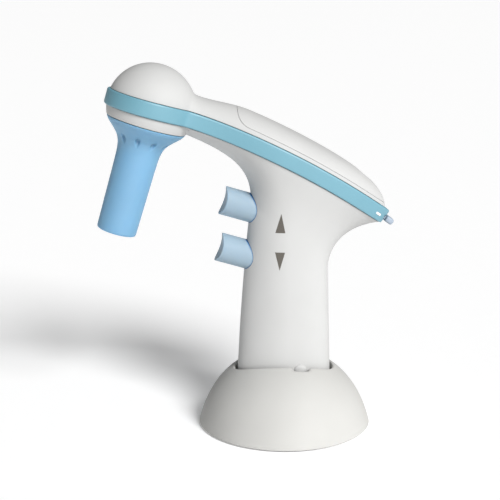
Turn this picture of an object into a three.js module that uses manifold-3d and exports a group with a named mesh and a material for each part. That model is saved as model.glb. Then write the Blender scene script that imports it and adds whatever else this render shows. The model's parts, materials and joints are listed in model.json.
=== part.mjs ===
// Motorized pipette controller on its desk stand.
// Millimetres, +Z up. The origin is the centre of the stand's underside, the nose points to -X,
// and the side that carries the charge light and the stand key is -Y.
import * as THREE from 'three';
import { mergeVertices } from 'three/addons/utils/BufferGeometryUtils.js';
import Module from 'manifold-3d';

const wasm = await Module();
wasm.setup();

// ---------- driving dimensions ----------
const GAP = 0.3;                    // clearance between neighbouring pieces
const WALL = 2;                     // thickness of the moulded shells
const TILT = THREE.MathUtils.degToRad(16.65);   // lean of the nose and of the thumb triggers

const BALL = { x: -65.75, z: 162.1, radius: 21.45 };   // ball of the head
const NOSE_LENGTH = 63.3;           // nozzle tip to the ball's centre
const SPINE_RADIUS = 370;           // bend of the body's centre line behind the ball
const CREASE = 1.2;                 // softness of the crease behind the ball
const BODY = { start: 20, widest: 68, end: 127.8 };    // distances along the centre line
const NECK = { halfWidth: 13.5, height: 12.3 };
const BACK = { halfWidth: 19.3, height: 14.9, squareness: 0.6 };
const BAND = { below: 2.35, above: 5.25, proud: 1, depth: 1.2, level: 35 };   // on the centre line at level

const HANDLE = { bottom: 8.8, front: 24.6, rear: 24.1, halfWidth: 14.75, taper: 7.8 };
const FULLNESS = { front: -0.125, rear: 0.25 };        // of the handle's section, against an ellipse
const STAND = { padRadius: 42.5, pad: 0.5, wall: 2.5 };
const DOME = { radius: 45.96, top: 36.5, drop: 17.61, flatness: 2.42 };
const SOCKET = { rim: 33, floor: 8.2, play: 1.5, wall: 2.2 };
const KEY = { x: 6.2, z: 32, radius: 3.1 };            // nub on the handle that drops into the stand's rim

const TRIGGER = { radius: 7.2, dish: 1.75, flange: 8.2, length: 25.15 };
const TRIGGERS = [
  { name: 'aspirate', along: 102.3, front: 63.65 },
  { name: 'dispense', along: 79.2, front: 58.9 },
];
const VALVE = { front: 28, rear: 16, low: 72, high: 110, halfWidth: 8 };

const PUMP = { radius: 11.3, motorLow: 18, motorHigh: 42, housingHigh: 56, headHigh: 63.5 };
const CELL = { radius: 5.25, half: 22.3, along: 74, rise: 4.8 };
const COVER = { front: 38.1, side: 7.8, corner: 8 };   // seam of the battery cover
const LIGHT = { along: 122.9, rise: 1.6, half: 2, radius: 0.9 };

const COLOURS = {
  shell: 0xe4e4e2, stand: 0xd9d9d0, band: 0x86c3d9, nose: 0x8fb6e0, nub: 0xb9c8e6,
  steel: 0xb9bcc0, rubber: 0x2c2d30, silicone: 0xd5dbe0, board: 0x2f6b45, filter: 0xf4f4ee,
  cell: 0x3b4a58, brass: 0xc9ab62, grey: 0x7d8288,
};

// ---------- solids ----------
function toSolid(geometry) {
  const plain = geometry.clone();
  plain.deleteAttribute('normal');
  plain.deleteAttribute('uv');
  const merged = mergeVertices(plain, 1e-4);
  const mesh = new wasm.Mesh({
    numProp: 3,
    vertProperties: new Float32Array(merged.attributes.position.array),
    triVerts: new Uint32Array(merged.index.array),
  });
  return new wasm.Manifold(mesh);
}

function toGeometry(solid) {
  const mesh = solid.getMesh();
  const geometry = new THREE.BufferGeometry();
  geometry.setAttribute('position', new THREE.BufferAttribute(new Float32Array(mesh.vertProperties), 3));
  geometry.setIndex(new THREE.BufferAttribute(new Uint32Array(mesh.triVerts), 1));
  geometry.computeVertexNormals();
  return geometry;
}

function join(geometries) {
  return geometries.map(toSolid).reduce((sum, solid) => sum.add(solid));
}

function cut(geometry, tools) {
  return toGeometry(toSolid(geometry).subtract(join(tools)));
}

// A closed skin over rings of points, all of one count, with a fan over each end.
function loft(rings, startPoint, endPoint) {
  const count = rings[0].length;
  const points = [...rings.flat(), startPoint, endPoint];
  const triangles = [];
  for (let ring = 0; ring < rings.length - 1; ring += 1) {
    for (let i = 0; i < count; i += 1) {
      const a = ring * count + i;
      const b = ring * count + (i + 1) % count;
      triangles.push(a, b, b + count, a, b + count, a + count);
    }
  }
  const first = rings.length * count;
  const last = (rings.length - 1) * count;
  for (let i = 0; i < count; i += 1) {
    const next = (i + 1) % count;
    triangles.push(first, next, i, first + 1, last + i, last + next);
  }
  return facingOut(points, triangles);
}

// A closed tube whose section is a ring of corners: rings joined in both directions.
function hoop(rings) {
  const count = rings[0].length;
  const triangles = [];
  for (let ring = 0; ring < rings.length; ring += 1) {
    for (let i = 0; i < count; i += 1) {
      const next = (i + 1) % count;
      const other = ((ring + 1) % rings.length) * count;
      triangles.push(ring * count + i, ring * count + next, other + next);
      triangles.push(ring * count + i, other + next, other + i);
    }
  }
  return facingOut(rings.flat(), triangles);
}

function facingOut(points, triangles) {
  let volume = 0;
  for (let i = 0; i < triangles.length; i += 3) {
    const [a, b, c] = triangles.slice(i, i + 3).map((k) => points[k]);
    volume += a.dot(new THREE.Vector3().crossVectors(b, c));
  }
  const geometry = new THREE.BufferGeometry().setFromPoints(points);
  geometry.setIndex(volume < 0 ? [...triangles].reverse() : triangles);
  geometry.computeVertexNormals();
  return geometry;
}

// A slab from an outline in X and Z, of full width across Y.
function slab(outline, width) {
  const shape = new THREE.Shape(outline.map(([x, z]) => new THREE.Vector2(x, z)));
  const geometry = new THREE.ExtrudeGeometry(shape, { depth: width, bevelEnabled: false });
  return geometry.rotateX(Math.PI / 2).translate(0, width / 2, 0);
}

function box(low, high) {
  const size = high.map((value, i) => value - low[i]);
  const middle = high.map((value, i) => (value + low[i]) / 2);
  return new THREE.BoxGeometry(...size).translate(...middle);
}

// A turned piece about Z from [radius, height] pairs.
function turned(profile, segments = 18) {
  const points = profile.map(([radius, height]) => new THREE.Vector2(radius, height));
  return new THREE.LatheGeometry(points, segments).rotateX(Math.PI / 2);
}

function ringProfile(inner, outer, low, high) {
  return [[inner, low], [outer, low], [outer, high], [inner, high], [inner, low]];
}

function discProfile(radius, low, high) {
  return [[0, low], [radius, low], [radius, high], [0, high]];
}

function post(radius, x, y, low, high, segments = 12) {
  return turned(discProfile(radius, low, high), segments).translate(x, y, 0);
}

// A round bar along Y.
function crossBar(radius, x, z, from, to, segments = 12) {
  const bar = new THREE.CylinderGeometry(radius, radius, to - from, segments);
  return bar.translate(x, (from + to) / 2, z);
}

function hose(points, radius, steps, sides = 4) {
  const curve = new THREE.CatmullRomCurve3(points.map((point) => new THREE.Vector3(...point)));
  const section = new THREE.Shape();
  section.absarc(0, 0, radius, 0, 2 * Math.PI);
  return new THREE.ExtrudeGeometry(section, { steps, curveSegments: sides, extrudePath: curve });
}

// ---------- the body's own coordinates: along the centre line, side, and rise square to it ----------
function spine(along) {
  const slope = TILT + Math.max(along, 0) / SPINE_RADIUS;
  const straight = Math.min(along, 0);
  return {
    slope,
    x: BALL.x + SPINE_RADIUS * (Math.sin(slope) - Math.sin(TILT)) + straight * Math.cos(TILT),
    z: BALL.z + SPINE_RADIUS * (Math.cos(slope) - Math.cos(TILT)) - straight * Math.sin(TILT),
  };
}

function onBody(along, side, rise) {
  const { x, z, slope } = spine(along);
  return new THREE.Vector3(x + rise * Math.sin(slope), side, z + rise * Math.cos(slope));
}

// The larger of two distances from the centre line, with a soft crease where they are equal.
function creased(a, b) {
  return (a + b + Math.hypot(a - b, CREASE)) / 2 - 0.02 * CREASE;
}

function ballReach(along, inset) {
  const radius = BALL.radius - inset;
  return Math.sqrt(Math.max(radius * radius - along * along, 0));
}

function roundedEnd(along, inset, start, power) {
  const reach = Math.max(along - start, 0) / (BODY.end - inset - start);
  return Math.sqrt(Math.max(1 - reach ** power, 0));
}

// Half width of the outline, inset all round.
function halfWidth(along, inset) {
  const neck = NECK.halfWidth - inset;
  const full = BACK.halfWidth - inset;
  const swell = THREE.MathUtils.smoothstep(along, BODY.start, BODY.widest);
  const body = (neck + (full - neck) * swell) * roundedEnd(along, inset, BODY.widest, 2.2);
  return along < 0 ? ballReach(along, inset) : creased(ballReach(along, inset), body);
}

// Height of the top above the centre line, inset all round.
function ridge(along, inset) {
  const neck = NECK.height - inset;
  const full = BACK.height - inset;
  const swell = THREE.MathUtils.smoothstep(along, BODY.start, BODY.start + 25);
  const body = (neck + (full - neck) * swell) * roundedEnd(along, inset, BODY.widest, 5);
  return along < 0 ? ballReach(along, inset) : creased(ballReach(along, inset), body);
}

// Places along the outline, closer together at both round ends.
function stations(inset, ballCount = 8, bodyCount = 12) {
  const places = [];
  for (let i = 1; i <= ballCount; i += 1) {
    places.push(-(BALL.radius - inset) * Math.cos((i / ballCount) * 0.8 * Math.PI));
  }
  const from = places[ballCount - 1];
  for (let i = 1; i < bodyCount; i += 1) {
    places.push(from + (BODY.end - inset - from) * Math.sin((i / bodyCount) * Math.PI / 2));
  }
  return places;
}

function signedPower(value, power) {
  return Math.sign(value) * Math.abs(value) ** power;
}

// The top dome as a full closed body: round sections at the ball, squarer ones at the back.
function domeBody(inset, around = 24) {
  const rings = stations(inset).map((along) => {
    const width = halfWidth(along, inset);
    const height = ridge(along, inset);
    const swell = THREE.MathUtils.smoothstep(along, BODY.start, BODY.widest);
    const power = 2 / (2 + BACK.squareness * swell);
    return Array.from({ length: around }, (_, i) => {
      const turn = (i / around) * 2 * Math.PI;
      const side = width * signedPower(Math.cos(turn), power);
      return onBody(along, side, height * signedPower(Math.sin(turn), power));
    });
  });
  return loft(rings, onBody(inset - BALL.radius, 0, 0), onBody(BODY.end - inset, 0, 0));
}

// The band bends a little more than the centre line: it lies lower at the ball and higher at the rear.
function bandLift(along) {
  const away = along - BAND.level;
  return 0.019 * away - 0.00011 * away * away;
}

// Everything above or below a surface that follows the band at one rise.
function sideOfBand(rise, farZ) {
  const edge = [];
  for (let along = -40; along <= 150; along += 10) {
    const point = onBody(along, 0, rise + bandLift(along));
    edge.push([point.x, point.z]);
  }
  const [start, end] = [edge[0], edge[edge.length - 1]];
  return slab([...edge, [end[0], farZ], [start[0], farZ]], 80);
}

// Region of the battery cover: above the side seam and behind the curved front seam.
function coverRegion(grow) {
  const { corner } = COVER;
  const outline = [onBody(COVER.front - grow, 0, 30), onBody(140, 0, 30), onBody(140, 0, COVER.side - grow)];
  for (let along = 135; along > COVER.front + corner; along -= 10) {
    outline.push(onBody(along, 0, COVER.side - grow));
  }
  for (let i = 0; i <= 6; i += 1) {
    const turn = (i / 6) * Math.PI / 2;
    const along = COVER.front - grow + corner * (1 - Math.sin(turn));
    outline.push(onBody(along, 0, COVER.side - grow + corner * (1 - Math.cos(turn))));
  }
  return slab(outline.map((point) => [point.x, point.z]), 80);
}

// ---------- handle and lower housing ----------
function handleReach(z) {
  return {
    front: HANDLE.front - HANDLE.taper * (z / 121) ** 1.7,
    rear: HANDLE.rear - 0.032 * z,
  };
}

// Handle outline: a slim nose to the front and a blunter back. Turn 0 faces the front.
function handlePoint(turn, z, inset) {
  const { front, rear } = handleReach(z);
  const forward = Math.cos(turn);
  const reach = (forward > 0 ? front : rear) - inset;
  const fullness = forward > 0 ? FULLNESS.front : FULLNESS.rear;
  return new THREE.Vector3(
    -reach * forward * (1 + fullness * (1 - forward * forward)),
    -(HANDLE.halfWidth - inset) * Math.sin(turn),
    z,
  );
}

// Where the housing's side line of one turn meets the underside of the band.
function bandPoint(turn, inset) {
  const crossing = THREE.MathUtils.degToRad(25);
  const away = Math.abs(turn > Math.PI ? turn - 2 * Math.PI : turn);
  const neck = 17.5;
  const side = turn > Math.PI ? 1 : -1;
  if (away < crossing) {
    const part = (away / crossing) * Math.PI / 2;
    const drop = BAND.below + (4.5 - inset) * Math.cos(part) ** 2;
    return onBody(neck, side * halfWidth(neck, inset) * Math.sin(part), bandLift(neck) - drop);
  }
  const part = (away - crossing) / (Math.PI - crossing);
  const along = neck + (BODY.end - inset - neck) * Math.sin(part * Math.PI / 2);
  return onBody(along, side * halfWidth(along, inset), bandLift(along) - BAND.below);
}

// One ring of the housing: level 0..1 runs up the handle, 1..2 flares out to the band.
function housingRing(level, inset, around) {
  return Array.from({ length: around }, (_, i) => {
    const turn = (i / around) * 2 * Math.PI;
    const flareStart = 98.5 + 18 * Math.cos(turn);
    if (level <= 1) {
      return handlePoint(turn, HANDLE.bottom + inset + (flareStart - HANDLE.bottom - inset) * level, inset);
    }
    const low = handlePoint(turn, flareStart, inset);
    const high = bandPoint(turn, inset);
    const climb = high.z - low.z;
    const behind = ((1 - Math.cos(turn)) / 2) ** 2;
    const lowHandle = low.clone().add(new THREE.Vector3(0, 0, 0.47 * climb));
    const highHandle = new THREE.Vector3(
      high.x + 0.7 * (low.x - high.x),
      high.y + 0.45 * (low.y - high.y),
      high.z - (0.3 - 0.23 * behind) * climb,
    );
    return new THREE.CubicBezierCurve3(low, lowHandle, highHandle, high).getPoint(level - 1);
  });
}

function housingBody(inset, around = 26) {
  const rings = [0, 0.5, 1, 1.2, 1.35, 1.5, 1.65, 1.8, 2]
    .map((level) => housingRing(level, inset, around));
  const lift = new THREE.Vector3(Math.sin(0.5), 0, Math.cos(0.5)).multiplyScalar(12);
  rings.push(rings[rings.length - 1].map((point) => point.clone().add(lift)));
  const bottom = new THREE.Vector3(0, 0, HANDLE.bottom + inset);
  return loft(rings, bottom, onBody(70, 0, 12));
}

// Frame of the nose: +Z runs up its axis from the nozzle tip, +X to the rear.
function noseFrame() {
  const frame = new THREE.Group();
  frame.rotation.y = TILT;
  frame.position.set(BALL.x - NOSE_LENGTH * Math.sin(TILT), 0, BALL.z - NOSE_LENGTH * Math.cos(TILT));
  frame.updateMatrix();
  return frame;
}

// Frame of the triggers: their axes run along X, the nose side is -X.
function thumbFrame() {
  const frame = new THREE.Group();
  frame.rotation.y = TILT;
  frame.updateMatrix();
  return frame;
}

// Frame of the cells and the board: +X along the body at its middle, +Z square to it.
function bodyFrame() {
  const frame = new THREE.Group();
  const { x, z, slope } = spine(CELL.along);
  frame.position.set(x, 0, z);
  frame.rotation.y = slope;
  frame.updateMatrix();
  return frame;
}

const nose = noseFrame();
const thumb = thumbFrame();
const middle = bodyFrame();

const SCREWS = [[15.3, 20], [14.8, 66], [30, 106.5]];   // x and z of the handle screws

function alongX(radius, from, to, segments = 24) {
  const bar = new THREE.CylinderGeometry(radius, radius, to - from, segments);
  return bar.rotateZ(Math.PI / 2).translate((from + to) / 2, 0, 0);
}

function triggerBores() {
  return TRIGGERS.map(({ along, front }) => alongX(TRIGGER.radius + GAP, -front, -VALVE.front - 4)
    .translate(0, 0, along).applyMatrix4(thumb.matrix));
}

// The ball's lower zone, down to the nose joint.
function ballZone(inset, low) {
  const profile = [[0, low]];
  for (let i = 0; i <= 4; i += 1) {
    const height = low + (NOSE_LENGTH + 6 - low) * (i / 4);
    profile.push([ballReach(height - NOSE_LENGTH, inset), height]);
  }
  profile.push([0, NOSE_LENGTH + 6]);
  return turned(profile, 22).applyMatrix4(nose.matrix);
}

function lowerHousing() {
  const outer = join([housingBody(0), ballZone(0, 54.9)]);
  const inner = join([housingBody(WALL), ballZone(WALL, 50)]);
  const bars = join(SCREWS.map(([x, z]) => crossBar(3.1, x, z, -20, 20)));
  const bosses = bars.intersect(toSolid(housingBody(0.8)));
  return outer.subtract(inner).add(bosses)
    .intersect(toSolid(sideOfBand(-BAND.below - GAP, -10)))
    .subtract(join([...triggerBores(), post(4.1, 8, 0, 5, 12)]));
}

// The half on the key's side takes the screw tips.
function handleShellLeft() {
  const half = toSolid(box([-110, -40, -5], [80, -GAP / 2, 200]));
  const holes = SCREWS.map(([x, z]) => crossBar(1.6, x, z, -9, 1));
  const key = new THREE.SphereGeometry(KEY.radius, 16, 10).scale(1, 0.42, 0.8);
  key.translate(KEY.x, 0.4 - HANDLE.halfWidth, KEY.z);
  return toGeometry(lowerHousing().intersect(half).subtract(join(holes)).add(toSolid(key)));
}

// The other half takes the screw heads in counterbores.
function handleShellRight() {
  const half = toSolid(box([-110, GAP / 2, -5], [80, 40, 200]));
  const holes = SCREWS.flatMap(([x, z]) => [crossBar(1.7, x, z, -1, 30), crossBar(2.9, x, z, 6.1, 30)]);
  return toGeometry(lowerHousing().intersect(half).subtract(join(holes)));
}

function upperShell() {
  const shell = toSolid(domeBody(0)).subtract(toSolid(domeBody(WALL)));
  return toGeometry(shell.intersect(toSolid(sideOfBand(BAND.above + GAP, 220)))
    .subtract(toSolid(coverRegion(GAP / 2))));
}

function batteryCover() {
  const shell = toSolid(domeBody(0)).subtract(toSolid(domeBody(WALL)));
  const grip = new THREE.SphereGeometry(9, 16, 10).scale(1, 1, 0.5);
  const scoop = middle.clone();
  const place = onBody(109, 0, 17.4);
  scoop.position.copy(place);
  scoop.updateMatrix();
  return toGeometry(shell.intersect(toSolid(coverRegion(-GAP / 2)))
    .subtract(toSolid(grip.applyMatrix4(scoop.matrix))));
}

// The four corners of the band's section, side -1 or 1, at one place on the way from front to rear.
function bandCorners(place, side) {
  const corners = [
    [BAND.depth, -BAND.below], [-BAND.proud, -BAND.below],
    [-BAND.proud, BAND.above], [BAND.depth, BAND.above],
  ];
  return corners.map(([inset, rise]) => {
    const along = [inset - BALL.radius, ...stations(inset, 10, 16), BODY.end - inset][place];
    return onBody(along, side * halfWidth(along, inset), rise + bandLift(along));
  });
}

function trimBand() {
  const places = Array.from({ length: 27 }, (_, i) => i);
  const rings = [
    ...places.map((place) => bandCorners(place, -1)),
    ...places.slice(1, -1).reverse().map((place) => bandCorners(place, 1)),
  ];
  const slot = box([0, -5.5, -1.8], [14, 5.5, 1.8]);
  const lens = capsule(LIGHT.half, LIGHT.radius + GAP / 2, -4, 4);
  return cut(hoop(rings), [slot.applyMatrix4(rearFrame().matrix), lens.applyMatrix4(lightFrame().matrix)]);
}

// Frame at the rear end of the band: +X out along the body.
function rearFrame() {
  const frame = new THREE.Group();
  frame.position.copy(onBody(122, 0, 2.1));
  frame.rotation.y = spine(128).slope;
  frame.updateMatrix();
  return frame;
}

// Frame of the charge light on the band's left face: +X along the band, +Z out of it.
function lightFrame() {
  const step = 0.5;
  const here = onBody(LIGHT.along, -halfWidth(LIGHT.along, -BAND.proud), LIGHT.rise);
  const ahead = onBody(LIGHT.along + step, -halfWidth(LIGHT.along + step, -BAND.proud), LIGHT.rise);
  const forward = ahead.sub(here).normalize();
  const upward = onBody(LIGHT.along, 0, 1).sub(onBody(LIGHT.along, 0, 0));
  const outward = new THREE.Vector3().crossVectors(forward, upward).normalize();
  upward.crossVectors(outward, forward);
  const frame = new THREE.Group();
  frame.applyMatrix4(new THREE.Matrix4().makeBasis(forward, upward, outward).setPosition(here));
  frame.updateMatrix();
  return frame;
}

// An upright bar with a long round section: half straight length and end radius.
function capsule(half, radius, low, high) {
  const shape = new THREE.Shape();
  shape.absarc(half - radius, 0, radius, -Math.PI / 2, Math.PI / 2);
  shape.absarc(radius - half, 0, radius, Math.PI / 2, 1.5 * Math.PI);
  const settings = { depth: high - low, bevelEnabled: false, curveSegments: 6 };
  return new THREE.ExtrudeGeometry(shape, settings).translate(0, 0, low);
}

// ---------- stand ----------
// The dome is a little flatter on top than an ellipse.
function domeRadius(z, inset) {
  const height = (z + DOME.drop) / (DOME.top + DOME.drop - inset);
  return (DOME.radius - inset) * Math.max(1 - height * height, 0) ** (1 / DOME.flatness);
}

function domeProfile(inset, low) {
  const profile = [[0, low]];
  const top = DOME.top - inset;
  for (let i = 0; i <= 9; i += 1) {
    const z = low + (top - low) * Math.sin((i / 9) * Math.PI / 2);
    profile.push([i === 9 ? 0 : domeRadius(z, inset), z]);
  }
  return profile;
}

function socketPrism(grow, low, high) {
  const ring = (z) => Array.from({ length: 24 }, (_, i) => {
    const point = handlePoint((i / 24) * 2 * Math.PI, SOCKET.rim, -grow);
    return point.setZ(z);
  });
  return loft([ring(low), ring(high)], new THREE.Vector3(0, 0, low), new THREE.Vector3(0, 0, high));
}

const BASE_SCREWS = [90, 210, 330].map((degrees) => {
  const turn = THREE.MathUtils.degToRad(degrees);
  return [33.5 * Math.cos(turn), 33.5 * Math.sin(turn)];
});

function standDome() {
  const outer = toSolid(turned(domeProfile(0, STAND.pad + GAP), 36));
  const hollow = toSolid(turned(domeProfile(STAND.wall, 0), 36));
  const cup = toSolid(socketPrism(SOCKET.play + SOCKET.wall, SOCKET.floor - 2.4, 45));
  const bosses = join(BASE_SCREWS.map(([x, y]) => post(3.4, x, y, 4.6, 30)));
  const notch = crossBar(KEY.radius + 1, KEY.x, KEY.z + 1.2, -26, -8);
  return toGeometry(outer.subtract(hollow).add(cup.intersect(outer)).add(bosses.intersect(outer))
    .subtract(toSolid(socketPrism(SOCKET.play, SOCKET.floor, 45)))
    .subtract(join([notch, ...BASE_SCREWS.map(([x, y]) => post(1.6, x, y, 4, 14))])));
}

function basePlate() {
  const holes = BASE_SCREWS.map(([x, y]) => post(2.1, x, y, 1, 5));
  const recesses = BASE_SCREWS.map(([x, y]) => post(3.5, x, y, 1, 3));
  return cut(turned(discProfile(39.4, 1.5, 4.2), 30), [...holes, ...recesses]);
}

// ---------- nose ----------
function noseCone() {
  const outer = [
    [8.2, 0], [9.82, 0], [10.1, 20], [10.3, 34], [10.5, 39.5], [11, 43], [12.1, 46], [14.4, 48.9],
    [16.9, 51.3], [18.7, 53.2], [19.45, 54.6], [15.6, 54.6], [15.6, 60.4],
  ];
  const inner = [[13.5, 60.4], [13.5, 51.2], [9.2, 46], [8.2, 40], [8.2, 0]];
  const blank = turned([...outer, ...inner], 24);
  const dents = Array.from({ length: 10 }, (_, i) => {
    const dent = new THREE.CapsuleGeometry(1.25, 5.4, 3, 8).rotateX(Math.PI / 2);
    return dent.translate(12.4, 0, 44.6).rotateZ(((i + 0.25) / 10) * 2 * Math.PI);
  });
  return cut(blank, dents);
}

function pipetteHolder() {
  return turned([
    [5.6, 0.8], [7.9, 0.8], [7.9, 40.5], [4, 40.5], [3, 36], [3, 24], [4.3, 16], [5.1, 8], [5.6, 0.8],
  ], 24);
}

function filterDisc() {
  return turned([[0, 50.6], [13.1, 51.6], [13.1, 54.4], [0, 54.4]], 20);
}

function noseGasket() {
  return turned(ringProfile(9.5, 13.1, 54.7, 55.9), 20);
}

function noseSocket() {
  return turned([
    [15.9, 55.3], [17.3, 55.3], [17.3, 61], [18.7, 61], [18.7, 63], [2.4, 63], [2.4, 68], [1.3, 68],
    [1.3, 61], [9.5, 61], [9.5, 56.2], [13.1, 56.2], [13.1, 60.7], [15.9, 60.7], [15.9, 55.3],
  ], 20);
}

// ---------- triggers and valve ----------
function trigger({ along, front }) {
  const rear = TRIGGER.length - front;
  const body = alongX(TRIGGER.radius, -front, rear, 24);
  const flange = alongX(TRIGGER.flange, rear - 1.6, rear, 20);
  const dishRadius = (TRIGGER.radius ** 2 + TRIGGER.dish ** 2) / (2 * TRIGGER.dish);
  const dish = crossBar(dishRadius, -front - dishRadius + TRIGGER.dish, 0, -12, 12, 40);
  const seat = alongX(5.1, rear - 7, rear + 1, 16);
  return toGeometry(join([body, flange]).subtract(join([dish, seat]))).translate(0, 0, along);
}

function stem({ along, front }) {
  return alongX(1.5, TRIGGER.length - front - 6.7, -VALVE.rear - 6, 12).translate(0, 0, along);
}

function stemSeal({ along }) {
  const ring = new THREE.TorusGeometry(2.45, 0.6, 6, 12).rotateY(Math.PI / 2);
  return ring.translate(-VALVE.front + 0.9, 0, along);
}

function spring({ along, front }) {
  const turns = 4;
  const from = TRIGGER.length - front - 5.6;
  const to = -VALVE.front - 0.9;
  const points = [];
  for (let i = 0; i <= turns * 8; i += 1) {
    const turn = (i / 8) * 2 * Math.PI;
    const x = from + (to - from) * (i / (turns * 8));
    points.push([x, 3.6 * Math.cos(turn), along + 3.6 * Math.sin(turn)]);
  }
  return hose(points, 0.4, turns * 8, 2);
}

function valveBlock() {
  const body = box([-VALVE.front, -VALVE.halfWidth, VALVE.low], [-VALVE.rear, VALVE.halfWidth, VALVE.high]);
  const bores = TRIGGERS.flatMap(({ along }) => [
    alongX(1.85, -VALVE.front - 1, -VALVE.rear - 1.5, 12).translate(0, 0, along),
    alongX(3.4, -VALVE.front - 1, -VALVE.front + 1.8, 20).translate(0, 0, along),
  ]);
  return cut(body, bores);
}

// ---------- pump ----------
function pumpHousing() {
  const low = PUMP.motorHigh + GAP;
  const block = post(PUMP.radius, 0, 0, low, PUMP.housingHigh, 20);
  return cut(block, [post(9.6, 0, 0, low + 2.5, 60, 20), post(3, 0, 0, low - 1, low + 4)]);
}

function pumpHead() {
  const low = PUMP.housingHigh + 1.9;
  const block = post(PUMP.radius, 0, 0, low, PUMP.headHigh, 20);
  const ports = [-5, 5].map((y) => post(1.8, 3, y, low + 1, PUMP.headHigh + 3.5));
  const chambers = [0, 120, 240].map((degrees) => {
    const turn = THREE.MathUtils.degToRad(degrees);
    return post(3, 6 * Math.cos(turn), 6 * Math.sin(turn), low - 1, low + 2.2);
  });
  return toGeometry(join([block, ...ports]).subtract(join(chambers)));
}

function wobblePlate() {
  const hub = post(9, 0, 0, 51.4, 53);
  const studs = [0, 120, 240].map((degrees) => {
    const turn = THREE.MathUtils.degToRad(degrees);
    return post(1.4, 6 * Math.cos(turn), 6 * Math.sin(turn), 52, 55.9, 10);
  });
  return toGeometry(join([hub, ...studs]));
}

function eccentric() {
  const disc = post(6, 0, 0, 46.4, 49.2, 24);
  const pin = post(1.2, 2.4, 0, 48.5, 51.1, 12);
  return toGeometry(join([disc, pin]).subtract(toSolid(post(1.3, 0, 0, 45, 48.1, 14))));
}

function motor() {
  const can = post(11.2, 0, 0, PUMP.motorLow, PUMP.motorHigh, 20);
  const flats = [-1, 1].map((side) => box([-12, side > 0 ? 9.4 : -12, 10], [12, side > 0 ? 12 : -9.4, 50]));
  return cut(can, [...flats, post(1.3, 0, 0, PUMP.motorHigh - 4, 50, 14)]);
}

// ---------- electrics ----------
function batteryTray() {
  const tray = box([-26.5, -12.2, -2], [27, 12.2, 3.6]);
  return cut(tray, [box([-25.3, -11, -0.9], [25.8, 11, 5])]);
}

function cellContact(x) {
  return box([x - 0.3, -10.4, -0.5], [x + 0.3, 10.4, 8.2]);
}

function cell(side) {
  const { radius, half, rise } = CELL;
  const shoulder = half - 1.1;
  const profile = [[0, -half], [radius, -half], [radius, shoulder], [1.9, shoulder], [1.9, half], [0, half]];
  return turned(profile, 20).rotateY(side * Math.PI / 2).translate(0, side * (radius + 0.2), rise);
}

function circuitBoard() {
  const board = box([-14, -9.5, -6.4], [30, 9.5, -4.8]);
  const chips = [
    box([-8, -4, -7.6], [0, 4, -6]), box([8, -5, -7.2], [14, 1, -6]), box([18, 0, -7.6], [23, 6, -6]),
  ];
  return toGeometry(join([board, ...chips]));
}

function chargeJack() {
  const body = box([3.6, -4.2, 12.2], [12.4, 4.2, 17.4]);
  const barrel = post(3.7, 8, 0, 9.2, 12.6, 20);
  return toGeometry(join([body, barrel]).subtract(join([post(2.6, 8, 0, 8, 15.5, 18)]))
    .add(toSolid(post(0.8, 8, 0, 10.2, 16, 10))));
}

// ---------- assembly ----------
const controller = new THREE.Group();

function add(parent, name, geometry, colour, roughness = 0.5, metalness = 0) {
  const material = new THREE.MeshStandardMaterial({ color: COLOURS[colour], roughness, metalness });
  const mesh = new THREE.Mesh(geometry, material);
  mesh.name = name;
  parent.add(mesh);
  return mesh;
}

function addStand() {
  add(controller, 'stand_dome', standDome(), 'stand', 0.45);
  add(controller, 'base_plate', basePlate(), 'steel', 0.4, 1);
  add(controller, 'base_pad', turned(discProfile(STAND.padRadius, 0, STAND.pad), 36), 'rubber', 0.9);
  BASE_SCREWS.forEach(([x, y], i) => {
    const profile = [[0, 1.6], [3, 1.6], [3, 2.8], [1.3, 2.8], [1.3, 12], [0, 13]];
    add(controller, `base_screw_${i + 1}`, turned(profile, 14).translate(x, y, 0), 'steel', 0.35, 1);
  });
}

function addShells() {
  add(controller, 'handle_shell_left', handleShellLeft(), 'shell', 0.4);
  add(controller, 'handle_shell_right', handleShellRight(), 'shell', 0.4);
  add(controller, 'upper_shell', upperShell(), 'shell', 0.4);
  add(controller, 'battery_cover', batteryCover(), 'shell', 0.4);
  add(controller, 'trim_band', trimBand(), 'band', 0.4);
  const light = capsule(LIGHT.half - GAP / 2, LIGHT.radius - GAP / 2, -2, 0.1);
  add(controller, 'charge_light', light.applyMatrix4(lightFrame().matrix), 'filter', 0.3);
  SCREWS.forEach(([x, z], i) => {
    const screw = join([crossBar(2.5, x, z, 6.4, 8.4), crossBar(1.25, x, z, -8.4, 7)]);
    add(controller, `handle_screw_${i + 1}`, toGeometry(screw), 'steel', 0.35, 1);
  });
}

function addNose() {
  controller.add(nose);
  add(nose, 'nose_cone', noseCone(), 'nose', 0.4);
  add(nose, 'pipette_holder', pipetteHolder(), 'silicone', 0.7);
  add(nose, 'filter', filterDisc(), 'filter', 0.8);
  add(nose, 'nose_gasket', noseGasket(), 'rubber', 0.9);
  add(nose, 'nose_socket', noseSocket(), 'grey', 0.5);
}

function addTriggers() {
  controller.add(thumb);
  TRIGGERS.forEach((spec) => {
    add(thumb, `${spec.name}_trigger`, trigger(spec), 'nose', 0.4);
    add(thumb, `${spec.name}_stem`, stem(spec), 'steel', 0.3, 1);
    add(thumb, `${spec.name}_spring`, spring(spec), 'steel', 0.3, 1);
    add(thumb, `${spec.name}_seal`, stemSeal(spec), 'rubber', 0.8);
  });
  add(thumb, 'valve_block', valveBlock(), 'grey', 0.5);
}

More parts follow.
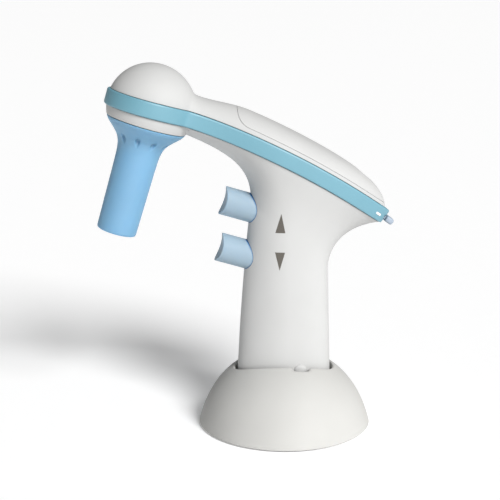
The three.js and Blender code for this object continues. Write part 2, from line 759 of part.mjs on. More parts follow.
function addPump() {
  add(controller, 'motor', motor(), 'steel', 0.35, 1);
  add(controller, 'motor_shaft', post(1, 0, 0, PUMP.motorHigh - 3.5, 47.7, 12), 'steel', 0.25, 1);
  add(controller, 'eccentric', eccentric(), 'brass', 0.4, 1);
  add(controller, 'wobble_plate', wobblePlate(), 'grey', 0.5);
  add(controller, 'pump_housing', pumpHousing(), 'grey', 0.5);
  add(controller, 'diaphragm', post(PUMP.radius, 0, 0, 56.3, 57.6, 28), 'rubber', 0.9);
  add(controller, 'pump_head', pumpHead(), 'grey', 0.5);
  const ends = [-5, 5].map((y) => [
    [3, y, PUMP.headHigh + 3.9], [2.6, y, 70.2], [1.6, y, 73],
  ]);
  add(controller, 'suction_hose', hose(ends[0], 2, 6), 'silicone', 0.5);
  add(controller, 'pressure_hose', hose(ends[1], 2, 6), 'silicone', 0.5);
  const route = [
    [-64.2, 0, 167.3], [-63.4, 0, 170.4], [-59.5, 0, 172.3], [-53, 0, 168.5], [-46, 0, 161], [-37, 0, 151.8],
    [-28, 0, 144.8], [-20, 0, 138.5], [-12, 0, 129.5], [-5, 0, 124], [2, 0, 121.2], [7.4, 0, 119.2],
    [8.5, 0, 116], [7.75, 0, 113.2],
  ];
  add(controller, 'nose_hose', hose(route, 2.2, 24, 3), 'silicone', 0.5);
}

function addElectrics() {
  controller.add(middle);
  add(middle, 'battery_tray', batteryTray(), 'grey', 0.6);
  add(middle, 'cell_1', cell(-1), 'cell', 0.35, 0.6);
  add(middle, 'cell_2', cell(1), 'cell', 0.35, 0.6);
  add(middle, 'contact_front', cellContact(-23.2), 'steel', 0.3, 1);
  add(middle, 'contact_rear', cellContact(23.2), 'steel', 0.3, 1);
  add(middle, 'circuit_board', circuitBoard(), 'board', 0.6);
  const rear = rearFrame();
  controller.add(rear);
  add(rear, 'mode_switch', box([-7, -6, -3.4], [-1.5, 6, 1.9]), 'grey', 0.5);
  const nub = capsule(4, 1.6, -1.6, 1.6).rotateZ(Math.PI / 2).translate(9.9, 0, 0);
  const tongue = box([-1.2, -1.5, -0.8], [9.6, 1.5, 0.8]);
  add(rear, 'mode_slider', toGeometry(join([nub, tongue])), 'nub', 0.4);
  add(controller, 'charge_jack', chargeJack(), 'grey', 0.5);
}

addStand();
addShells();
addNose();
addTriggers();
addPump();
addElectrics();

export default controller;
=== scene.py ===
import json
import math

import bmesh
import bpy
import numpy as np
from mathutils import Matrix, Vector


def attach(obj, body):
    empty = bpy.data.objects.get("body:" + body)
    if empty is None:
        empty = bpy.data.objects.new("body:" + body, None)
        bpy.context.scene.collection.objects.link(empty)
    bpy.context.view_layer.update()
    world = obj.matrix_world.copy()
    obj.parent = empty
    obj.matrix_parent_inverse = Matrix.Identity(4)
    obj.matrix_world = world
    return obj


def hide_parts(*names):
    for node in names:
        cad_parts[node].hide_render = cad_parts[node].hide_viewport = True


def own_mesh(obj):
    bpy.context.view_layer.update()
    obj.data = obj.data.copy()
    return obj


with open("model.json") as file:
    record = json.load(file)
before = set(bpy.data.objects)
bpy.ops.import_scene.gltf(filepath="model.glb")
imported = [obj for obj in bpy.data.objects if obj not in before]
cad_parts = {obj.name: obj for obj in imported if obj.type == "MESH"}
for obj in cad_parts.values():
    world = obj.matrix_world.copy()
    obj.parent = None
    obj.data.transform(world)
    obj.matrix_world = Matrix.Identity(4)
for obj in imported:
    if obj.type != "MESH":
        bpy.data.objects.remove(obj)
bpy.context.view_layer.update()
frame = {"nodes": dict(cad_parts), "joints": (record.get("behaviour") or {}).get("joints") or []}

MM = 0.001
SEAM = 0.14                      # visible gap between neighbouring shells
WALL = 2.0
JOINTS = {joint["name"]: joint for joint in frame["joints"]}
UPRIGHT = Matrix.Identity(4)

# ---------- driving dimensions in millimetres, following the CAD model ----------
NOSE_UP = -np.array(JOINTS["nose_turn"]["axis"])
NOSE_TIP = np.array(JOINTS["nose_turn"]["pos_m"]) / MM
TILT = math.atan2(NOSE_UP[0], NOSE_UP[2])
THUMB = Matrix.Rotation(TILT, 4, "Y")           # the triggers' frame
NOSE = Matrix.Translation(NOSE_TIP) @ THUMB     # +Z up the nose from its mouth
NOSE_LENGTH = 63.3
BALL = NOSE_TIP + NOSE_LENGTH * NOSE_UP
BALL_RADIUS = 21.45
SPINE_RADIUS = 370
CREASE, CREASE_SINK = 1.2, 0.02     # softness of the crease behind the ball, and the share taken off again
BODY_START, BODY_WIDEST, BODY_END = 20, 68, 127.8
SIDE_ROUNDNESS, TOP_ROUNDNESS = 2.2, 5    # powers of the body's rear end, seen from above and from the side
NECK_HALF_WIDTH, NECK_HEIGHT = 13.5, 12.3
BACK_HALF_WIDTH, BACK_HEIGHT, BACK_SQUARENESS = 19.3, 14.9, 0.6
BAND_BELOW, BAND_ABOVE, BAND_PROUD, BAND_DEPTH = 2.35, 5.25, 1.0, 1.2
BAND_GAP, BAND_LEVEL = 0.2, 35
BAND_SLOPE, BAND_BEND = 0.019, 0.00011
COVER_FRONT, COVER_SIDE, COVER_CORNER = 38.1, 7.8, 8
TOOL_START, TOOL_END, TOOL_HALF_WIDTH = -40, 150, 45    # cutting tools reach past the body all round
SLIDER_ALONG, SLIDER_RISE = 122, 2.1

HANDLE_BOTTOM, HANDLE_TOP = 8.8, 121
HANDLE_FRONT, HANDLE_REAR, HANDLE_HALF_WIDTH = 24.6, 24.1, 14.75
HANDLE_TAPER, TAPER_POWER, REAR_LEAN = 7.8, 1.7, 0.032
FULLNESS_FRONT, FULLNESS_REAR = -0.125, 0.25
PAD_RADIUS, PAD_HEIGHT = 42.5, 0.5
DOME_RADIUS, DOME_TOP, DOME_DROP, DOME_FLATNESS = 45.96, 36.5, 17.61, 2.42
DOME_SKIRT, DOME_WALL = 0.8, 2.5
SOCKET_RIM, SOCKET_FLOOR, SOCKET_PLAY, SOCKET_WALL = 33, 8.2, 1.5, 2.2
SOCKET_FLOOR_WALL = 2.4
KEY_X, KEY_Z, KEY_RADIUS = 6.2, 32, 3.1
JACK_X, JACK_HOLE = 8, 4.1

TRIGGER_RADIUS, TRIGGER_DISH, TRIGGER_FLANGE, TRIGGER_LENGTH = 7.2, 1.75, 8.2, 25.15
TRIGGERS = {"aspirate": (102.3, 63.65), "dispense": (79.2, 58.9)}    # height and front, along the tilted axes
VALVE_FRONT = 28
SPRING_IN_TRIGGER, SPRING_OFF_VALVE = 5.6, 0.9                       # where the return springs sit
ARROWS = {                                                           # corners as (x, z)
    "up": ((-6.5, 101.9), (-1.7, 101.9), (-3.7, 111.6)),
    "down": ((-6.6, 92.2), (-1.8, 92.2), (-4.4, 83.0)),
}
SCREWS = [(15.3, 20), (14.8, 66), (30, 106.5)]
CELL_RADIUS, CELL_HALF, CELL_ALONG, CELL_RISE = 5.25, 22.3, 74, 4.8
LIGHT_ALONG, LIGHT_RISE, LIGHT_HALF, LIGHT_RADIUS = 123, 1.8, 2, 0.65

NOISE_LOW, NOISE_HIGH = 0.3, 0.7    # nearly all values of a noise lie between these
CAMERA_SPOT = (-66.75, -560.53, 220.2)
CAMERA_AIM = (-17.7, 0, 90.5)
CAMERA_LENS, SENSOR_WIDTH = 83.15, 36


# ---------- mesh building ----------
def add_object(name, data):
    thing = bpy.data.objects.new(name, data)
    bpy.context.scene.collection.objects.link(thing)
    return thing


def mesh_piece(name, points, faces, sharp_degrees=35):
    """A mesh object from points in millimetres, shaded smooth except over sharp edges."""
    mesh = bpy.data.meshes.new(name)
    mesh.from_pydata((np.asarray(points, float) * MM).tolist(), [], faces)
    piece = add_object(name, mesh)
    face_out(piece)
    smooth(piece, sharp_degrees)
    return piece


def face_out(piece):
    """Turns every face of a closed piece outwards."""
    work = bmesh.new()
    work.from_mesh(piece.data)
    bmesh.ops.recalc_face_normals(work, faces=work.faces)
    if work.calc_volume(signed=True) < 0:
        bmesh.ops.reverse_faces(work, faces=work.faces)
    work.to_mesh(piece.data)
    work.free()


def smooth(piece, sharp_degrees=35):
    """Smooth shading, except over edges sharper than the angle."""
    piece.data.shade_smooth()
    piece.data.set_sharp_from_angle(angle=math.radians(sharp_degrees))


def full_turn(steps):
    return np.linspace(0, 2 * math.pi, steps, endpoint=False)


def loft(name, rings, start=None, end=None, sharp_degrees=35, matrix=UPRIGHT):
    """A closed skin over rings of points, placed by a matrix; with no end points it closes on itself."""
    rings = np.asarray(rings)
    rows, columns = rings.shape[:2]
    points = rings.reshape(-1, 3).tolist()
    faces = []
    for row in range(rows - 1 if start is not None else rows):
        after = (row + 1) % rows
        for column in range(columns):
            beside = (column + 1) % columns
            faces.append((row * columns + column, row * columns + beside,
                          after * columns + beside, after * columns + column))
    if start is not None:
        points += [start, end]
        first, last, top = rows * columns, rows * columns + 1, (rows - 1) * columns
        for column in range(columns):
            beside = (column + 1) % columns
            faces.append((first, beside, column))
            faces.append((last, top + column, top + beside))
    return mesh_piece(name, place(points, matrix), faces, sharp_degrees)


def turned_rings(profile, segments):
    """One ring of points about Z for each (radius, height) of a profile."""
    profile = np.asarray(profile, float)
    turn = full_turn(segments)
    radius, height = profile[:, :1], profile[:, 1:]
    return np.stack([radius * np.cos(turn), radius * np.sin(turn), height + 0 * turn], axis=-1)


def turned(name, profile, matrix=UPRIGHT, segments=96, sharp_degrees=35):
    """A piece turned from (radius, height) points, starting and ending on the axis."""
    start, end = [(0, 0, profile[i][1]) for i in (0, -1)]
    return loft(name, turned_rings(profile[1:-1], segments), start, end, sharp_degrees, matrix)


def place(points, matrix):
    """Points moved by a 4x4 matrix whose shift is in millimetres."""
    array = np.array(matrix)
    return np.asarray(points) @ array[:3, :3].T + array[:3, 3]


def rounded(profile, radius, steps=4, closed=False):
    """The outline with each corner replaced by a small arc."""
    profile = [np.array(point, float) for point in profile]
    count = len(profile)
    made = []
    for i, corner in enumerate(profile):
        if not closed and i in (0, count - 1):
            made.append(corner)
            continue
        before, after = profile[i - 1] - corner, profile[(i + 1) % count] - corner
        reach = min(radius, 0.45 * np.linalg.norm(before), 0.45 * np.linalg.norm(after))
        start = corner + before / np.linalg.norm(before) * reach
        end = corner + after / np.linalg.norm(after) * reach
        for t in np.linspace(0, 1, steps + 1):
            made.append((1 - t) ** 2 * start + 2 * t * (1 - t) * corner + t ** 2 * end)
    return made


def slab(name, outline, half_width):
    """A prism across Y from an outline of (x, z) points."""
    count = len(outline)
    points = [(x, -half_width, z) for x, z in outline] + [(x, half_width, z) for x, z in outline]
    faces = [(i, (i + 1) % count, (i + 1) % count + count, i + count) for i in range(count)]
    faces += [tuple(range(count)), tuple(range(count, 2 * count))]
    return mesh_piece(name, points, faces)


def block(low, high):
    """A box between two opposite corners."""
    corners = [(x, y, z) for x in (low[0], high[0]) for y in (low[1], high[1]) for z in (low[2], high[2])]
    faces = [(0, 1, 3, 2), (4, 6, 7, 5), (0, 4, 5, 1), (2, 3, 7, 6), (0, 2, 6, 4), (1, 5, 7, 3)]
    return mesh_piece("block", corners, faces)


def bar(start, end, radius, segments=64):
    """A round bar between two points, used as a cutting tool."""
    start, end = Vector(start), Vector(end)
    turn = (end - start).to_track_quat("Z", "Y").to_matrix().to_4x4()
    matrix = Matrix.Translation(start) @ turn
    length = (end - start).length
    return turned("bar", [(0, 0), (radius, 0), (radius, length), (0, length)], matrix, segments)


def combine(base, tool, operation):
    """Joins or cuts base with tool, which is used up."""
    modifier = base.modifiers.new("combine", "BOOLEAN")
    modifier.operation = operation
    modifier.solver = "MANIFOLD"
    modifier.object = tool
    graph = bpy.context.evaluated_depsgraph_get()
    result = bpy.data.meshes.new_from_object(base.evaluated_get(graph))
    base.modifiers.remove(modifier)
    spent = [base.data, tool.data]
    base.data = result
    bpy.data.objects.remove(tool)
    for mesh in spent:
        bpy.data.meshes.remove(mesh)
    return base


def cut(base, *tools):
    for tool in tools:
        combine(base, tool, "DIFFERENCE")
    return base


def copy_of(piece, name):
    return add_object(name, piece.data.copy())


def soften(piece, picked, rounds, spread):
    """Relaxes the mesh around the picked vertices, which turns a crease into a fillet."""
    work = bmesh.new()
    work.from_mesh(piece.data)
    region = {vertex for vertex in work.verts if picked(vertex)}
    for _ in range(spread):
        region |= {edge.other_vert(vertex) for vertex in region for edge in vertex.link_edges}
    for _ in range(rounds):
        bmesh.ops.smooth_vert(work, verts=list(region), factor=0.5,
                              use_axis_x=True, use_axis_y=True, use_axis_z=True)
    work.to_mesh(piece.data)
    work.free()


# ---------- the body's own coordinates: along the centre line, side, and rise square to it ----------
def smoothstep(value, low, high):
    t = np.clip((value - low) / (high - low), 0, 1)
    return t * t * (3 - 2 * t)


def signed_power(value, power):
    """A power that keeps the sign, for squarish ellipses."""
    return np.sign(value) * np.abs(value) ** power


def spine(along):
    """The centre line's slope and its x and z: straight under the ball, then an arc."""
    slope = TILT + np.maximum(along, 0) / SPINE_RADIUS
    straight = np.minimum(along, 0)
    x = BALL[0] + SPINE_RADIUS * (np.sin(slope) - math.sin(TILT)) + straight * math.cos(TILT)
    z = BALL[2] + SPINE_RADIUS * (np.cos(slope) - math.cos(TILT)) - straight * math.sin(TILT)
    return slope, x, z


def on_body(along, side, rise):
    """Points in space from the body's own coordinates."""
    slope, x, z = spine(along)
    return np.stack(np.broadcast_arrays(x + rise * np.sin(slope), side, z + rise * np.cos(slope)), axis=-1)


def soft_max(a, b, softness):
    """The larger of two lengths, with a rounded change from one to the other."""
    return (a + b + np.hypot(a - b, softness)) / 2


def ball_reach(along, inset):
    """How far the ball reaches out at a distance from its centre."""
    return np.sqrt(np.maximum((BALL_RADIUS - inset) ** 2 - along ** 2, 0))


def rounded_end(along, inset, power):
    """How much of the body's size is left: all of it up to the widest place, none at the end."""
    reach = np.maximum(along - BODY_WIDEST, 0) / (BODY_END - inset - BODY_WIDEST)
    return np.sqrt(np.maximum(1 - reach ** power, 0))


def body_profile(along, inset, neck, back, swell_end, end_power):
    """A distance from the centre line: the ball's, running softly into the neck and the back."""
    swell = smoothstep(along, BODY_START, swell_end)
    body = (neck - inset + (back - neck) * swell) * rounded_end(along, inset, end_power)
    ball = ball_reach(along, inset)
    return np.where(along < 0, ball, soft_max(ball, body, CREASE) - CREASE_SINK * CREASE)


def half_width(along, inset):
    return body_profile(along, inset, NECK_HALF_WIDTH, BACK_HALF_WIDTH, BODY_WIDEST, SIDE_ROUNDNESS)


def ridge(along, inset):
    return body_profile(along, inset, NECK_HEIGHT, BACK_HEIGHT, BODY_START + 25, TOP_ROUNDNESS)


def stations(inset, fineness=1.0):
    """Places along the body, closest together at both round ends and in the crease behind the ball."""
    radius = BALL_RADIUS - inset
    end = BODY_END - inset
    crease_end, rear_start = 30, 95
    ball_steps, crease_steps, back_steps, rear_steps = [int(count * fineness) for count in (34, 44, 50, 48)]
    ball = -radius * np.cos(np.linspace(0, math.pi / 2, ball_steps + 1)[1:])
    crease = np.linspace(0, crease_end, crease_steps + 1)[1:]
    back = np.linspace(crease_end, rear_start, back_steps + 1)[1:]
    rear = rear_start + (end - rear_start) * np.sin(np.linspace(0, math.pi / 2, rear_steps + 1)[1:-1])
    return np.concatenate([ball, crease, back, rear])


def dome_body(name, inset, fineness=1.0):
    """The top half of the controller as a full closed body."""
    along = stations(inset, fineness)[:, None]
    turn = full_turn(int(120 * fineness))
    power = 2 / (2 + BACK_SQUARENESS * smoothstep(along, BODY_START, BODY_WIDEST))
    side = half_width(along, inset) * signed_power(np.cos(turn), power)
    rise = ridge(along, inset) * signed_power(np.sin(turn), power)
    start = on_body(inset - BALL_RADIUS, 0, 0)
    return loft(name, on_body(along, side, rise), start, on_body(BODY_END - inset, 0, 0))


def band_lift(along):
    """The band bends a little more than the centre line: lower at the ball, higher at the rear."""
    away = along - BAND_LEVEL
    return BAND_SLOPE * away - BAND_BEND * away * away


def side_of_band(name, rise, far_z):
    """Everything above or below the surface that follows the band at one rise."""
    edge = [tuple(on_body(along, 0, rise + band_lift(along))[[0, 2]])
            for along in np.linspace(TOOL_START, TOOL_END, 150)]
    return slab(name, edge + [(edge[-1][0], far_z), (edge[0][0], far_z)], TOOL_HALF_WIDTH)


def cover_region(name, grow):
    """The battery cover's part of the shell: above its side seam, behind its curved front seam."""
    low = COVER_SIDE - grow
    front = COVER_FRONT - grow
    top, rear = 30, 140
    outline = [on_body(front, 0, top), on_body(rear, 0, top)]
    outline += [on_body(along, 0, low) for along in np.linspace(rear, front + COVER_CORNER, 60)]
    for turn in np.linspace(0, math.pi / 2, 17)[1:]:
        along = front + COVER_CORNER * (1 - math.sin(turn))
        outline.append(on_body(along, 0, low + COVER_CORNER * (1 - math.cos(turn))))
    return slab(name, [(point[0], point[2]) for point in outline], TOOL_HALF_WIDTH)


# ---------- handle and lower housing ----------
def handle_point(turn, z, inset):
    """The handle's outline: a slim nose to the front and a blunter back. Turn 0 faces the front."""
    forward = np.cos(turn)
    front = HANDLE_FRONT - HANDLE_TAPER * (z / HANDLE_TOP) ** TAPER_POWER
    rear = HANDLE_REAR - REAR_LEAN * z
    reach = np.where(forward > 0, front, rear) - inset
    fullness = np.where(forward > 0, FULLNESS_FRONT, FULLNESS_REAR)
    x = -reach * forward * (1 + fullness * (1 - forward * forward))
    y = -(HANDLE_HALF_WIDTH - inset) * np.sin(turn)
    return np.stack(np.broadcast_arrays(x, y, z), axis=-1)


def band_point(turn, inset):
    """Where the housing's side line of one turn meets the underside of the band."""
    crossing = math.radians(25)
    neck, neck_belly = 17.5, 4.5
    signed = np.where(turn > math.pi, turn - 2 * math.pi, turn)
    away = np.abs(signed)
    side = -np.sign(signed)
    part = np.clip(away / crossing, 0, 1) * math.pi / 2
    drop = BAND_BELOW + (neck_belly - inset) * np.cos(part) ** 2 - band_lift(neck)
    under_neck = on_body(neck, side * half_width(np.float64(neck), inset) * np.sin(part), -drop)
    part = np.clip((away - crossing) / (math.pi - crossing), 0, 1)
    along = neck + (BODY_END - inset - neck) * np.sin(part * math.pi / 2)
    beside = on_body(along, side * half_width(along, inset), band_lift(along) - BAND_BELOW)
    return np.where((away < crossing)[..., None], under_neck, beside)


def flare_rings(turn, low, high, steps):
    """The flare as Bezier curves, which leave the handle upwards and reach the band from below."""
    climb = (high - low)[:, 2]
    behind = ((1 - np.cos(turn)) / 2) ** 2
    upward, inward, sideways = 0.47, 0.7, 0.45
    downward = 0.3 - 0.23 * behind
    low_handle = low + np.stack([0 * turn, 0 * turn, upward * climb], axis=-1)
    high_handle = np.stack([
        high[:, 0] + inward * (low - high)[:, 0],
        high[:, 1] + sideways * (low - high)[:, 1],
        high[:, 2] - downward * climb,
    ], axis=-1)
    return [(1 - t) ** 3 * low + 3 * t * (1 - t) ** 2 * low_handle
            + 3 * t * t * (1 - t) * high_handle + t ** 3 * high for t in np.linspace(0, 1, steps + 1)]


def housing_body(name, inset, rows, columns):
    """The handle and the flare that carries the band, as a full closed body."""
    turn = full_turn(columns)
    flare_height, flare_tilt = 98.5, 18
    flare_start = flare_height + flare_tilt * np.cos(turn)
    bottom = HANDLE_BOTTOM + inset
    edge, edge_steps = 1.6, 5
    rings = []
    for angle in np.linspace(math.pi / 2, 0, edge_steps + 1)[1:]:
        rings.append(handle_point(turn, bottom + edge * (1 - math.sin(angle)) + 0 * turn,
                                  inset + edge * (1 - math.cos(angle))))
    for t in np.linspace(0, 1, rows)[:-1]:
        rings.append(handle_point(turn, bottom + edge + (flare_start - bottom - edge) * t, inset))
    high = band_point(turn, inset)
    rings += flare_rings(turn, handle_point(turn, flare_start, inset), high, rows)
    above_band, lean = 12, 0.5
    rings.append(high + above_band * np.array([math.sin(lean), 0, math.cos(lean)]))
    return loft(name, rings, (0, 0, bottom), on_body(70, 0, above_band))


def frame_at(along, rise):
    """A matrix on the body: +X along it, +Z square to it."""
    slope = float(spine(along)[0])
    return Matrix.Translation(on_body(along, 0, rise)) @ Matrix.Rotation(slope, 4, "Y")


def ball_zone(name, inset, low, segments):
    """The part of the ball under the band, down to the nose joint."""
    heights = np.linspace(low, NOSE_LENGTH + 6, 24)
    edge = [(float(ball_reach(height - NOSE_LENGTH, inset)), height) for height in heights]
    outline = rounded([(0, low)] + edge[:2], 0.5) + edge[2:] + [(0, heights[-1])]
    return turned(name, outline, NOSE, segments)


def trigger_bore(along, front):
    """The cutting tool for a trigger's hole, from its front to behind the valve's face."""
    start, end = place([(-front, 0, along), (-VALVE_FRONT - 4, 0, along)], THUMB)
    play = 0.25
    return bar(start, end, TRIGGER_RADIUS + play, 96)


def lower_housing():
    """Both handle shells in one, hollow, with the nose collar and the trigger holes."""
    collar_bottom, fillet_bottom, fillet_top = 54.9, 56.5, NOSE_LENGTH + 4
    housing = combine(housing_body("housing", 0, 80, 200), ball_zone("ball", 0, collar_bottom, 160), "UNION")
    least_bend = 0.2

    def on_crease(vertex):
        spot = vertex.co / MM
        near_ball = abs((spot - Vector(BALL)).length - BALL_RADIUS) < 0.05
        bends = any(edge.is_manifold and edge.calc_face_angle() > least_bend for edge in vertex.link_edges)
        local = NOSE.inverted() @ spot
        return near_ball and bends and local.x > 0 and fillet_bottom < local.z < fillet_top

    soften(housing, on_crease, rounds=12, spread=3)
    cut(housing, housing_body("inside", WALL, 24, 60), ball_zone("ball_inside", WALL, 50, 60))
    combine(housing, side_of_band("below_band", -BAND_BELOW - BAND_GAP, -10), "INTERSECT")
    cut(housing, *[trigger_bore(*spec) for spec in TRIGGERS.values()])
    return cut(housing, bar((JACK_X, 0, 5), (JACK_X, 0, 14), JACK_HOLE))


def half_space(side):
    """Everything to the left (-1) or right (1) of the seam between the handle shells."""
    near, far = sorted((side * SEAM / 2, side * TOOL_HALF_WIDTH))
    return block((-110, near, -5), (80, far, 200))


def handle_shells():
    """The lower housing split down the middle, with screw holes on the right and the key on the left."""
    left = lower_housing()
    left.name = "shell_left"
    right = copy_of(left, "shell_right")
    combine(left, half_space(-1), "INTERSECT")
    combine(right, half_space(1), "INTERSECT")
    screw_hole, key_sink = 2.9, 0.4
    for x, z in SCREWS:
        cut(right, bar((x, -1, z), (x, 30, z), screw_hole))
    key_size = Matrix.Diagonal((KEY_RADIUS, 0.42 * KEY_RADIUS, 0.8 * KEY_RADIUS, 1))
    key_spot = Matrix.Translation((KEY_X, key_sink - HANDLE_HALF_WIDTH, KEY_Z))
    combine(left, turned("key", sphere_profile(), key_spot @ key_size, 48), "UNION")
    for shell in (left, right):
        smooth(shell)
    return left, right


def sphere_profile(steps=24):
    """The profile of a sphere of radius 1, from its lower end to its upper end."""
    return [(math.sin(turn), -math.cos(turn)) for turn in np.linspace(0, math.pi, steps + 1)]


def top_shells():
    """The white shell above the band, split into the front part and the battery cover."""
    shell = cut(dome_body("top_shell", 0), dome_body("inside", WALL, 0.5))
    combine(shell, side_of_band("above_band", BAND_ABOVE + BAND_GAP, 220), "INTERSECT")
    cover = copy_of(shell, "cover")
    cut(shell, cover_region("region", SEAM / 2))
    combine(cover, cover_region("region", -SEAM / 2), "INTERSECT")
    scoop_spot = frame_at(109, 17.4)
    scoop_radius, scoop_depth = 9, 4.5
    scoop_size = Matrix.Diagonal((scoop_radius, scoop_radius, scoop_depth, 1))
    cut(cover, turned("scoop", sphere_profile(), scoop_spot @ scoop_size, 96))
    for piece in (shell, cover):
        smooth(piece)
    return shell, cover


def trim_band():
    """The blue band: a soft-edged strip once round the body, with the slider's slot and the light's hole."""
    section = rounded([(BAND_DEPTH, -BAND_BELOW), (-BAND_PROUD, -BAND_BELOW), (-BAND_PROUD, BAND_ABOVE),
                       (BAND_DEPTH, BAND_ABOVE)], radius=0.95, steps=6, closed=True)
    rings = []
    for inset, rise in section:
        along = np.concatenate([[inset - BALL_RADIUS], stations(inset), [BODY_END - inset]])
        width = half_width(along, inset)
        width[-1] = 0
        line = on_body(along, -width, rise + band_lift(along))
        other = on_body(along, width, rise + band_lift(along))[1:-1][::-1]
        rings.append(np.concatenate([line, other]))
    band = loft("band", np.stack(rings, axis=1))
    slot_half_width, slot_half_height = 4.7, 1.05
    slot = block((0, -slot_half_width, -slot_half_height), (14, slot_half_width, slot_half_height))
    slot.data.transform(to_metres(slider_frame()))
    play = 0.1
    hole = pillow("hole", LIGHT_HALF + play, LIGHT_RADIUS + play, -4, 4, 0.01, light_frame())
    cut(band, slot, hole)
    smooth(band)
    return band


def slider_frame():
    """+X out of the rear end along the slider's tongue, leaning as the body's very end does."""
    lean = float(spine(128)[0] - spine(SLIDER_ALONG)[0])
    return frame_at(SLIDER_ALONG, SLIDER_RISE) @ Matrix.Rotation(lean, 4, "Y")


def to_metres(matrix):
    """The same matrix with its shift in Blender's metres."""
    moved = matrix.copy()
    moved.translation *= MM
    return moved


def light_frame():
    """On the band's left face: +X along the band, +Z out of it."""
    step = 0.5
    here, ahead = [on_body(along, -half_width(np.float64(along), -BAND_PROUD), LIGHT_RISE)
                   for along in (LIGHT_ALONG, LIGHT_ALONG + step)]
    forward = Vector(ahead - here).normalized()
    upward = Vector(on_body(LIGHT_ALONG, 0, 1) - on_body(LIGHT_ALONG, 0, 0))
    outward = forward.cross(upward).normalized()
    upward = outward.cross(forward)
    turn = Matrix((forward, upward, outward)).transposed().to_4x4()
    return Matrix.Translation(here) @ turn


def pillow(name, half, radius, low, high, edge, matrix):
    """An upright long-round bar with a soft top edge."""
    turn = full_turn(64)
    straight = np.sign(np.cos(turn)) * (half - radius)
    rings = []
    levels = [(0, low)] + [(edge * (1 - math.cos(a)), high - edge * (1 - math.sin(a)))
                           for a in np.linspace(0, math.pi / 2, 6)]
    for inset, z in levels:
        reach = radius - inset
        rings.append(np.stack([straight + reach * np.cos(turn), reach * np.sin(turn), z + 0 * turn], axis=-1))
    return loft(name, rings, (0, 0, low), (0, 0, high), matrix=matrix)


def charge_light():
    """The oval window of the charge light, a little proud of the band."""
    depth, proud, edge = 2, 0.16, 0.3
    return pillow("light_window", LIGHT_HALF, LIGHT_RADIUS, -depth, proud, edge, light_frame())


def mode_slider():
    """The small sliding nub at the rear end, on its tongue."""
    end = slider_frame()
    half_wide, half_high, corner_radius, start, stop = 4, 1.6, 1.5, 7.05, 11.5
    corners = ((-1, -1), (1, -1), (1, 1), (-1, 1))
    rings = []
    profile = [(0.9, 7.1), (0.25, 7.25), (0, 7.6), (0, 10.5), (0.35, 11.15), (1.1, 11.45)]
    for inset, x in profile:
        outline = [(y * (half_wide - inset), z * (half_high - inset)) for y, z in corners]
        rings.append([(x, y, z) for y, z in rounded(outline, corner_radius - inset, 8, closed=True)])
    nub = loft("slider", rings, (start, 0, 0), (stop, 0, 0), 50, end)
    tongue = block((-1.2, -1.5, -0.8), (9.6, 1.5, 0.8))
    tongue.data.transform(to_metres(end))
    combine(nub, tongue, "UNION")
    smooth(nub, 50)
    return nub


# ---------- nose ----------
def nose_skin():
    """The outside of the nose as (radius, height) points: a slim tube that flares into the grip."""
    outer = [(9.62, 0.25), (9.82, 0.9), (9.9, 6), (10.1, 20), (10.3, 34), (10.5, 39.5), (11, 43),
             (12.1, 46), (14.4, 48.9), (16.9, 51.3), (18.7, 53.2), (19.3, 54.1), (19.45, 54.45)]
    widths, heights = np.array(outer).T
    flare_start = 34
    fine = np.concatenate([np.linspace(heights[0], flare_start, 40),
                           np.linspace(flare_start, heights[-1], 70)[1:]])
    return list(zip(pchip(heights, widths, fine), fine))


def nose_cone():
    """The screw-on nose: a slim tube with a lipped mouth, a grip with ten dents and a spigot on top."""
    skin = nose_skin()
    spigot = [(19.3, 54.6), (15.6, 54.6), (15.6, 60.4), (13.5, 60.4), (13.5, 51.2), (9.2, 46), (8.2, 40),
              (8.2, 0.5), (8.6, 0.05), (9.2, 0)]
    profile = np.array(skin + spigot)
    turn = full_turn(320)
    radius = profile[:, :1] + 0 * turn
    height = profile[:, 1:]
    dents, dent_phase, dent_reach, dent_radius, dent_top = 10, 0.25, 12.4, 1.25, 47.3
    across = ((turn / (2 * math.pi) * dents + dent_phase) % 1 - 0.5) * 2 * math.pi * dent_reach / dents
    bite = dent_radius ** 2 - across ** 2 - np.maximum(height - dent_top, 0) ** 2
    groove = np.where(bite > 0, dent_reach - np.sqrt(np.maximum(bite, 0)), np.inf)
    on_skin = (np.arange(len(profile)) < len(skin))[:, None]
    radius = np.where(on_skin, np.minimum(radius, groove), radius)
    rings = np.stack([radius * np.cos(turn), radius * np.sin(turn), height + 0 * turn], axis=-1)
    return loft("nose", rings, sharp_degrees=50, matrix=NOSE)


def pchip(x, y, at):
    """Smooth shape-keeping interpolation through the given points."""
    slope = np.diff(y) / np.diff(x)
    tangent = np.zeros_like(y)
    tangent[1:-1] = np.where(slope[1:] * slope[:-1] > 0,
                             2 * slope[1:] * slope[:-1] / (slope[1:] + slope[:-1] + 1e-12), 0)
    tangent[0], tangent[-1] = slope[0], slope[-1]
    i = np.clip(np.searchsorted(x, at) - 1, 0, len(x) - 2)
    width = x[i + 1] - x[i]
    t = (at - x[i]) / width
    return ((2 * t ** 3 - 3 * t ** 2 + 1) * y[i] + (t ** 3 - 2 * t ** 2 + t) * width * tangent[i]
            + (-2 * t ** 3 + 3 * t ** 2) * y[i + 1] + (t ** 3 - t ** 2) * width * tangent[i + 1])


